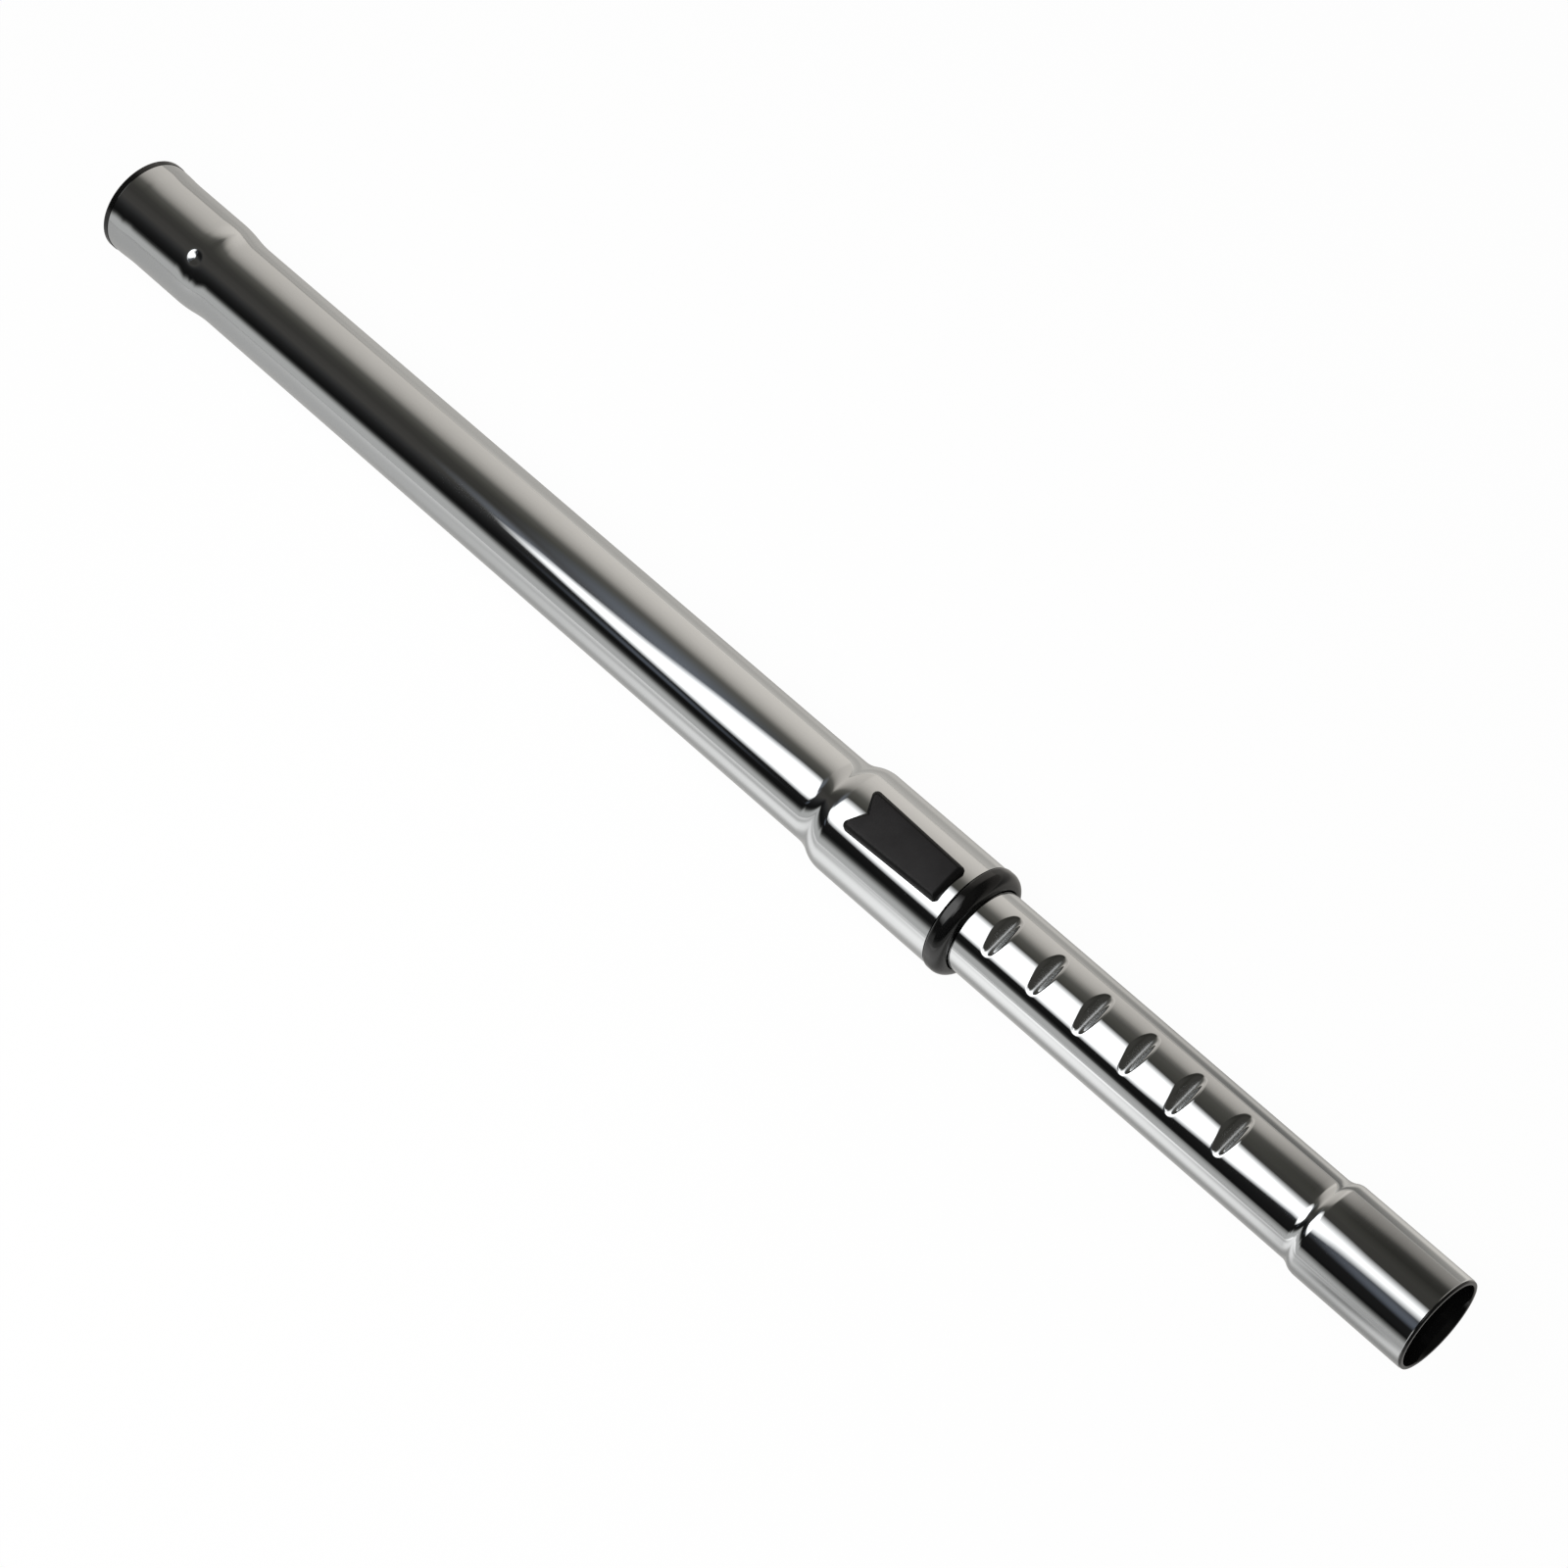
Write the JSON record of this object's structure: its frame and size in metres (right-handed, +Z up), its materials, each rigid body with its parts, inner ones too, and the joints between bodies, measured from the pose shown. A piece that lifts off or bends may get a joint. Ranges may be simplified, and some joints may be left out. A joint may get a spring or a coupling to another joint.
{
  "type": "vacuum extension wand",
  "caption": "Telescopic chrome steel suction tube with a sliding inner tube, spring-loaded release button, black end collar, upper socket and lower spigot",
  "frame": {"origin": "centre of the upper mouth, where the handle plugs in, on the tubes' common axis", "axes": "+X along the wand towards the lower spigot, +Z up on the side of the release button, +Y to the far side"},
  "size_m": [0.626, 0.0408, 0.0428],
  "materials": {
    "chrome": "polished",
    "black_gloss": "gloss",
    "cap_plastic": "matte",
    "guide_plastic": "satin",
    "hard_steel": "polished",
    "seal_rubber": "matte",
    "felt": "matte"
  },
  "bodies": {
    "outer": {"outer_tube": "chrome", "upper_end_ring": "black_gloss", "end_collar": "black_gloss", "wiper_seal": "felt", "guide_bush": "guide_plastic", "return_spring_left": "hard_steel", "return_spring_right": "hard_steel"},
    "inner": {"inner_tube": "chrome", "lower_end_ring": "black_gloss", "rear_guide": "guide_plastic", "rear_seal": "seal_rubber"},
    "button": {"button_cap": "cap_plastic", "button_carriage": "guide_plastic"},
    "roller": {"locking_roller": "hard_steel"}
  },
  "joints": [
    {"name": "tube_slide", "type": "slide", "parent": "outer", "child": "inner", "axis": [1, 0, 0], "range_m": [-0.14, 0.1]},
    {"name": "button_slide", "type": "slide", "parent": "outer", "child": "button", "axis": [1, 0, 0], "range_m": [0, 0.0034], "stiffness_N_per_m": 2300, "springref_m": -0.0004, "deforming": ["return_spring_left", "return_spring_right"]},
    {"name": "roller_lift", "type": "slide", "parent": "outer", "child": "roller", "axis": [0, 0, 1], "range_m": [0, 0.00225]}
  ],
  "couplings": [
    {"joint": "roller_lift", "follows": "button_slide", "ratio": 0.66176}
  ]
}
